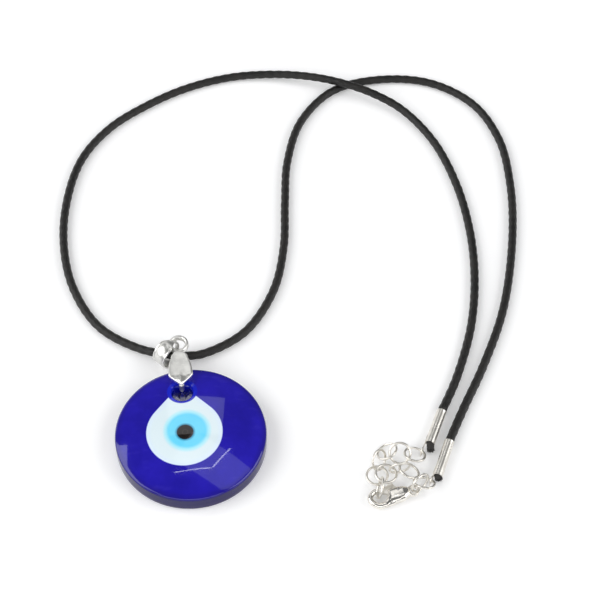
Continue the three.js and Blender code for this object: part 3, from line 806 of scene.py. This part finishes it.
def crimp(end):
    size = CRIMPS[end]
    length = size["length"]
    run = np.array([0.0, 0.06, 0.2, 0.45, *np.linspace(0.8, length - 0.5, 34),
                    length - 0.25, length - 0.06, length])
    lip = 0.05 * np.exp(-run / 0.18) - 0.05
    pinch = 0.02 * np.exp(-((run - length / 2) / 1.6) ** 2)
    line = np.stack([run, 0 * run, 0 * run], 1)
    sleeve = along(line, folded_section(CRIMP_RADIUS, CRIMP_WALL), 1.0 + lip * 0.6 - pinch * 0.5)
    eye_at, back = length + size["tip"] + 0.64, 0.14 - CRIMP_RADIUS
    tongue = [(length - 1.6, 0.42), (length - 0.1, 0.42), (length + 0.3, 0.3),
              (eye_at - 0.8, 0.28), (eye_at - 0.6, 0.36)]
    low, high = back - 0.11, back + 0.11
    strip = [[(x, -half, low), (x, half, low), (x, half, high), (x, -half, high)]
             for x, half in tongue]
    eye = ring_shell(0.85, 0.23, (eye_at, 0, back), squash=0.62)
    shells = [skin(sleeve), skin(strip), eye]
    return piece(f"folded_crimp_{end}", shells, "cord_and_ends", bright_plate,
                 crimp_frame(end), 40, [f"cord_crimp_{end}"])


for end in CRIMPS:
    crimp(end)

# %% [markdown]
# ## Rings and chain
# The jump rings and the links of the extender chain are all the same open ring of round
# wire, cut and closed so that a hairline gap stays. A ring that repeats suits a node tree:
# an arc, swept with a wire profile, then turned and put in its place. The place comes from
# the CAD node itself: its middle, and the direction in which it is thinnest.

# %% The ring tree
def socket(tree, name, kind, value):
    held = tree.interface.new_socket(name=name, in_out="INPUT", socket_type=kind)
    held.default_value = value
    return held


def ring_tree(material):
    tree = bpy.data.node_groups.new("wire_ring", "GeometryNodeTree")
    for name, kind, value in (("Radius", "NodeSocketFloat", 0.002), ("Wire", "NodeSocketFloat", 0.00025),
                              ("Gap", "NodeSocketFloat", 4.0), ("Cut at", "NodeSocketFloat", 0.0),
                              ("Place", "NodeSocketVector", (0, 0, 0)),
                              ("Turn", "NodeSocketVector", (0, 0, 0))):
        socket(tree, name, kind, value)
    tree.interface.new_socket(name="Ring", in_out="OUTPUT", socket_type="NodeSocketGeometry")

    def add(kind, settings=None, **links):
        made = tree.nodes.new(kind)
        for key, value in (settings or {}).items():
            setattr(made, key, value)
        for key, value in links.items():
            target = made.inputs[key.replace("_", " ")]
            if isinstance(value, bpy.types.NodeSocket):
                tree.links.new(value, target)
            else:
                target.default_value = value
        return made

    given = add("NodeGroupInput").outputs
    start = add("ShaderNodeMath", {"operation": "RADIANS"}, Value=given["Cut at"]).outputs[0]
    gap = add("ShaderNodeMath", {"operation": "RADIANS"}, Value=given["Gap"]).outputs[0]
    sweep = add("ShaderNodeMath", {"operation": "SUBTRACT"})
    sweep.inputs[0].default_value = 2 * math.pi
    tree.links.new(gap, sweep.inputs[1])
    arc = add("GeometryNodeCurveArc", None, Resolution=56, Radius=given["Radius"], Start_Angle=start,
              Sweep_Angle=sweep.outputs[0])
    wire = add("GeometryNodeCurvePrimitiveCircle", None, Resolution=16, Radius=given["Wire"])
    swept = add("GeometryNodeCurveToMesh", None, Curve=arc.outputs[0], Profile_Curve=wire.outputs[0])
    swept.inputs["Fill Caps"].default_value = True
    laid = add("GeometryNodeTransform", None, Geometry=swept.outputs[0],
               Translation=given["Place"], Rotation=given["Turn"])
    real = add("GeometryNodeRealizeInstances", None, Geometry=laid.outputs[0])
    dressed = add("GeometryNodeSetMaterial", None, Geometry=real.outputs[0], Material=material)
    tree.links.new(dressed.outputs[0], add("NodeGroupOutput").inputs[0])
    return tree


wire_ring = ring_tree(bright_plate)
print("inputs of the ring tree:", [s.name for s in wire_ring.interface.items_tree if s.in_out == "INPUT"])


# %% Rings in their places
def ring_place(node):
    """The middle of a ring's CAD solid, and the turn that lays flat rings into its plane."""
    spots = np.array([v.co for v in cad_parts[node].data.vertices])
    low, high = np.array(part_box(node)[0]), np.array(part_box(node)[1])
    centre = (low + high) / 2
    normal = np.linalg.svd(spots - spots.mean(0), full_matrices=False)[2][2]
    normal = normal if normal[2] > 0 else -normal
    return Vector(centre), Vector(normal).to_track_quat("Z", "Y").to_euler()


def wire_piece(name, node, body, cut_at, radius=0.00205, wire=0.00025, gap=3.0):
    centre, turn = ring_place(node)
    holder = bpy.data.objects.new("ring_maker", bpy.data.meshes.new("empty"))
    scene.collection.objects.link(holder)
    step = holder.modifiers.new("ring", "NODES")
    step.node_group = wire_ring
    values = {"Radius": radius, "Wire": wire, "Gap": gap, "Cut at": cut_at, "Place": centre, "Turn": turn}
    for held in wire_ring.interface.items_tree:
        if held.in_out == "INPUT":
            step[held.identifier] = values[held.name]
    mesh = bpy.data.meshes.new_from_object(holder.evaluated_get(bpy.context.evaluated_depsgraph_get()))
    bpy.data.objects.remove(holder)
    return settle(bpy.data.objects.new(name, mesh), body, bright_plate, 45, [node])


wire_piece("jump_ring_at_crimp_a", "jump_ring_a", "ring_a", 200)
for k in range(1, 9):
    wire_piece(f"extender_link_{k:02d}", f"chain_link_{k:02d}", f"link_{k:02d}", 47 * k)
wire_piece("jump_ring_at_crimp_b", "jump_ring_b", "ring_b", 120)
wire_piece("jump_ring_at_clasp", "clasp_ring", "ring_c", 260)

# %% [markdown]
# ## The hoop
# The hoop is a wide band that narrows to a strip where the clip hangs on it. Its width
# follows its turn, so each section round it is drawn to that width: a flat strip with
# rounded edges, a raised rim, and a fine groove beside the rim.

# %% Hoop
HOOP_INNER, HOOP_SHEET = 2.55, 0.4
HOOP_WIDE, HOOP_NARROW = 1.55, 0.45  # half widths, the narrow one where the clip hangs


def hoop():
    inner, outer, bevel = HOOP_INNER, HOOP_INNER + HOOP_SHEET, 0.1
    shells = []
    for turn in np.linspace(0, 2 * np.pi, 150, endpoint=False):
        share = np.clip((np.cos(turn) + 0.2) / 0.92, 0, 1)
        share = share * share * (3 - 2 * share)
        half = HOOP_WIDE * (1 - share) + HOOP_NARROW * share
        corner, cut = half - bevel * 0.3, half - min(0.32, half * 0.5)
        right = [(half - bevel, inner), (corner, inner + bevel * 0.3), (half, inner + bevel),
                 (half, outer - bevel), (corner, outer - bevel * 0.3), (half - bevel, outer),
                 (cut, outer), (cut - 0.05, outer - 0.07), (cut - 0.1, outer - 0.015)]
        left = [(-x, r) for x, r in right[::-1]]
        profile = [*left[-3:], (0, inner), *right, (0, outer - 0.015), *left[:-3]]
        shells.append([(x, r * np.cos(turn), r * np.sin(turn)) for x, r in profile])
    return piece("bail_hoop_band", [skin(shells, wrap=True)], "hoop", satin_plate,
                 HOOP, 50, ["bail_hoop"])


hoop()

# %% [markdown]
# ## The clip
# The clip is stamped from sheet: a shield-shaped front leaf, a plainer back leaf, and a neck
# that folds over the glass to a doubled eye. The front leaf is what is looked at. It swells
# softly, its edge is bevelled bright, and at the foot the sheet is creased into two facets
# that meet in a ridge. A height rule over the outline gives all of that at once.

# %% Clip
def leaf_outline(length, width, top_width, steps=14):
    """A round top, widest low down, and a pointed foot at the origin."""
    shoulder, crown = length * 0.3, length - top_width / 2
    start, bend = np.array([width / 2, shoulder]), np.array([width / 2, crown * 0.8])
    stop = np.array([top_width / 2, crown])
    t = np.linspace(0, 1, steps)[:, None]
    flank = (1 - t) ** 2 * start + 2 * t * (1 - t) * bend + t * t * stop
    foot = np.linspace(0.03, 0.97, 12)[:, None] * start
    turns = np.linspace(0, np.pi, 26)[1:-1]
    top = np.stack([top_width / 2 * np.cos(turns), crown + top_width / 2 * np.sin(turns)], 1)
    mirror = np.array([-1.0, 1.0])
    return np.vstack([[0, 0], foot, flank, top, (flank * mirror)[::-1], (foot * mirror)[::-1]])


def leaf(outline, spine, under, over, rise):
    """A plate over an outline. rise(x, y, depth) is added on top, depth being 0 at the edge."""
    shrink = [1.0, 0.985, 0.955, 0.90, 0.82, 0.72, 0.60, 0.47, 0.33, 0.2, 0.1, 0.012]
    spots = np.clip(outline[:, 1], *spine)
    middle = np.stack([0 * spots, spots], 1)
    rings = [[(x, y, under) for x, y in middle + (outline - middle) * 0.02]]
    rings += [[(x, y, under) for x, y in middle + (outline - middle) * 0.97]]
    rings += [[(x, y, under + 0.05) for x, y in outline]]
    for share in shrink:
        flat = middle + (outline - middle) * share
        rings.append([(x, y, over + rise(x, y, 1 - share)) for x, y in flat])
    return skin(rings)


def front_rise(x, y, depth):
    edge = -0.16 * (1 - min(depth / 0.09, 1.0)) ** 1.5
    crown = 0.10 * (1 - (x / 2.5) ** 2) - 0.02
    low = min(max((3.1 - y) / 0.5, 0.0), 1.0)
    ridge = 0.36 - 0.26 * abs(x + 0.12) - 0.10 * max(0.0, 1.4 - y)
    fold = low * low * (3 - 2 * low)
    dent = -0.16 * math.exp(-(((x + 0.32) / 0.42) ** 2 + ((y - 3.25) / 0.30) ** 2))
    return edge + crown * (1 - fold) + (ridge - 0.12) * fold * min(depth / 0.3 + 0.15, 1.0) + dent


def back_rise(x, y, depth):
    return -0.10 * (1 - min(depth / 0.1, 1.0))


FRONT_LEAF, BACK_LEAF = (8.1, 4.9, 3.5), (6.6, 3.2, 1.9)  # length, width, width at the top
LEAF_FOOT = np.array([0, 0.7])
LOOP_RADIUS, LOOP_WIRE, LOOP_APART = 1.7, 0.37, 0.304
NECK_WIDTH, NECK_SHEET, PRONG_RADIUS = 1.5, 0.46, 0.5
FRONT_UNDER = float(dome_at(HOLE_OUT - FRONT_LEAF[1] / 2)) + 0.25
FRONT_OVER, BACK_UNDER = FRONT_UNDER + 0.8, -0.65
EYE_UP, EYE_HEIGHT = 12.3, (RIM_HEIGHT + FRONT_OVER) / 2 - 1.9


def strap(points, width, thick, step=0.12):
    """A bent strip of sheet with rounded edges."""
    line, _ = smooth_line([(0, y, z) for y, z in points], step)
    w, t, e = width / 2, thick / 2, 0.09
    section = np.array([(-w + e, -t), (w - e, -t), (w, -t + e), (w, t - e),
                        (w - e, t), (-w + e, t), (-w, t - e), (-w, -t + e)])
    return skin(along(line, section))


def clip():
    front, back = leaf_outline(*FRONT_LEAF) + LEAF_FOOT, leaf_outline(*BACK_LEAF) + LEAF_FOOT
    shells = [leaf(front, (3.0, 7.0), FRONT_UNDER, FRONT_OVER - 0.1, front_rise)]
    shells.append(leaf(back, (2.6, 6.2), BACK_UNDER, BACK_UNDER + 0.5, back_rise))
    middle = (FRONT_UNDER + BACK_UNDER + 0.5) / 2
    prongs = [(middle + 0.5, FRONT_UNDER + 0.15, middle + 0.5),
              (BACK_UNDER + 0.35, middle - 0.5, middle - 0.5)]
    for low, high, point in prongs:
        line = np.array([(0, 1.1, z) for z in np.linspace(low, high, 12)])
        taper = np.clip(0.42 + np.abs(line[:, 2] - point) * 0.9, 0.0, 1.0)
        shells.append(skin(along(line, circle(PRONG_RADIUS, 20), taper, up=(0, 1, 0))))
    ring_edge = EYE_UP - LOOP_RADIUS
    front_top, back_low = FRONT_OVER - 0.32, BACK_UNDER + 0.25
    over = [(7.2, front_top), (8.8, front_top - 0.45), (ring_edge + 0.1, EYE_HEIGHT + 0.38)]
    under = [(3.8, back_low), (6.75, back_low + 0.1), (8.35, EYE_HEIGHT * 0.4),
             (ring_edge + 0.1, EYE_HEIGHT - 0.38)]
    shells += [strap(neck, NECK_WIDTH, NECK_SHEET) for neck in (over, under)]
    for side in (-1, 1):
        loop_at = (0, EYE_UP, EYE_HEIGHT + side * LOOP_APART)
        shells.append(ring_shell(LOOP_RADIUS, LOOP_WIRE, loop_at, sides=16, steps=64))
    return piece("bail_clip_leaves", shells, "clip", satin_plate, CLIP, 32, ["bail_clip"])


clip()

# %% [markdown]
# ## The clasp
# The clasp is cast, so it has no sharp edge anywhere: a body with a slot for the lever, a
# hook that tapers round to its tip, and a small eye at the tail. It is roughed out from
# swelling sections and tubes that run into each other. A voxel remesh then welds them, and
# smoothing rounds every corner a little, just as tumbling does to the real casting.

# %% Clasp tools
PIVOT = np.array([3.0, -0.5])
HOOK_END, SLOT_FLOOR = 9.25, 0.9
SLOT_HALF, LEVER_HALF = 0.57, 0.44
SPRING_TURNS = 4


def bent(a, b, c, steps=10):
    """A bend from a to c, pulled towards b."""
    t = np.linspace(0, 1, steps)[:, None]
    return (1 - t) ** 2 * np.array(a) + 2 * t * (1 - t) * np.array(b) + t * t * np.array(c)


def cast(shells, voxel, rounds, tools=()):
    """The shells welded into one casting, with its corners rounded by smoothing, then drilled."""
    blank = rough(shells)
    scene.collection.objects.link(blank)
    weld = blank.modifiers.new("weld", "REMESH")
    weld.mode, weld.voxel_size = "VOXEL", voxel
    tumble = blank.modifiers.new("tumble", "SMOOTH")
    tumble.factor, tumble.iterations = 0.5, rounds
    shape = bpy.data.meshes.new_from_object(blank.evaluated_get(bpy.context.evaluated_depsgraph_get()))
    bpy.data.objects.remove(blank)
    if tools:
        shape = carved(bpy.data.objects.new("casting", shape), *(("DIFFERENCE", tool) for tool in tools))
    return shape


def casting_piece(name, shape, body, material, node, crisp=50):
    shape.transform(Matrix.Scale(0.001, 4) @ CLASP)
    return settle(bpy.data.objects.new(name, shape), body, material, crisp, [node])


# %% Clasp body
def clasp_body():
    turns = np.linspace(0, 2 * np.pi, 49)[:-1]
    high_share = np.sign(np.cos(turns)) * np.abs(np.cos(turns)) ** 0.75
    wide_share = np.sign(np.sin(turns)) * np.abs(np.sin(turns)) ** 0.7
    stations = np.array([  # along the body, lower side, upper side, half width
        (0.7, -0.75, 0.8, 0.7), (1.2, -1.12, 1.2, 0.95), (2.0, -1.42, 1.56, 1.12),
        (3.0, -1.56, 1.74, 1.15), (4.0, -1.55, 1.8, 1.15), (4.7, -1.4, 1.86, 1.1),
        (5.3, 0.0, 1.98, 0.94), (5.9, 0.86, 2.08, 0.74), (6.5, 1.06, 2.14, 0.6)])
    fine = np.linspace(stations[0, 0], stations[-1, 0], 40)
    low, high, wide = (np.interp(fine, stations[:, 0], stations[:, k]) for k in (1, 2, 3))
    rings = []
    for x, a, b, w in zip(fine, low, high, wide):
        rings.append([(x, (a + b) / 2 + (b - a) / 2 * h, w * v) for h, v in zip(high_share, wide_share)])
    block = skin(rings)
    hook = [(4.3, 1.35, 0), (6.2, 1.62, 0), (HOOK_END - 1.9, 1.57, 0),
            (HOOK_END - 0.86, 0.7, 0), (HOOK_END - 0.62, -0.4, 0),
            (HOOK_END - 1.35, -1.48, 0), (HOOK_END - 2.2, -1.74, 0)]
    line, _ = smooth_line(hook, 0.1)
    share = np.linspace(0, 1, len(line))
    thick = 1.16 - 0.16 * share
    bar = skin(along(line, circle(0.56, 20) * np.array([1.0, 1.15]), thick))
    turns = np.linspace(0, 2 * np.pi, 5)[:-1] + np.pi / 4
    section = np.stack([0.985 + 0.34 * np.cos(turns), 0.52 * np.sin(turns)], 1)
    round_tail = np.linspace(0, 2 * np.pi, 48, endpoint=False)
    tail = skin([[(r * np.cos(a), r * np.sin(a), z) for r, z in section] for a in round_tail], wrap=True)
    slot = plate([(1.9, -3), (6.3, -3), (6.3, SLOT_FLOOR), (1.9, SLOT_FLOOR)], -SLOT_HALF, SLOT_HALF)
    grooves = []
    for k in range(3):
        foot = np.array([1.55 + 0.52 * k, 1.42 + 0.21 * k, 0.0])
        across = np.array([foot + (0.02, 0.33, z) for z in np.linspace(-1.6, 1.6, 9)])
        grooves.append(rough([skin(along(across, circle(0.16, 12), up=(0, 1, 0)))]))
    shape = cast([block, bar, tail], voxel=0.075, rounds=5, tools=[rough([slot]), *grooves])
    return casting_piece("cast_clasp_body", shape, "clasp", cast_plate, "clasp_body")


clasp_body()

# %% Clasp lever, pin and spring
def clasp_lever():
    gate = HOOK_END - 2.5
    at = PIVOT[0]
    side = [(at - 0.68, -0.02), (at + 1.5, -0.12), (gate - 0.02, -1.37), (gate - 0.3, -2.13), (at + 2, -2.13)]
    side += [*bent((at + 2, -2.15), (at + 1.5, -2.28), (at + 1.28, -2.88), 6), (at + 0.62, -2.88)]
    side += [*bent((at + 0.6, -2.8), (at + 0.6, -1.6), (at - 0.68, -1.18), 8)]
    shape = cast([plate(side, -LEVER_HALF, LEVER_HALF)], voxel=0.06, rounds=3)
    return casting_piece("clasp_thumb_lever", shape, "lever", bright_plate, "clasp_lever")


def clasp_pin():
    rows = []
    half = ((1.0, 0.29), (1.1, 0.3), (1.17, 0.27), (1.2, 0.16))
    for z, r in (*((-z, r) for z, r in half[::-1]), *half):
        rows.append([(PIVOT[0] + x, PIVOT[1] + y, z) for x, y in circle(r, 28)])
    return piece("clasp_rivet", [skin(rows)], "clasp", dull_steel, CLASP, 40, ["clasp_pin"])


def clasp_spring():
    middle, foot, radius, height = 4.05, 0.09, 0.32, 0.7
    turns = np.linspace(0, SPRING_TURNS * 2 * np.pi, 150)
    line = np.stack([middle + radius * np.cos(turns), foot + height * turns / turns[-1],
                     radius * np.sin(turns)], 1)
    coil = skin(along(line, circle(0.085, 10), up=(0, 1, 0)))
    return piece("clasp_coil_spring", [coil], "clasp", dull_steel, CLASP, 40, ["clasp_spring"])


clasp_lever()
clasp_pin()
clasp_spring()
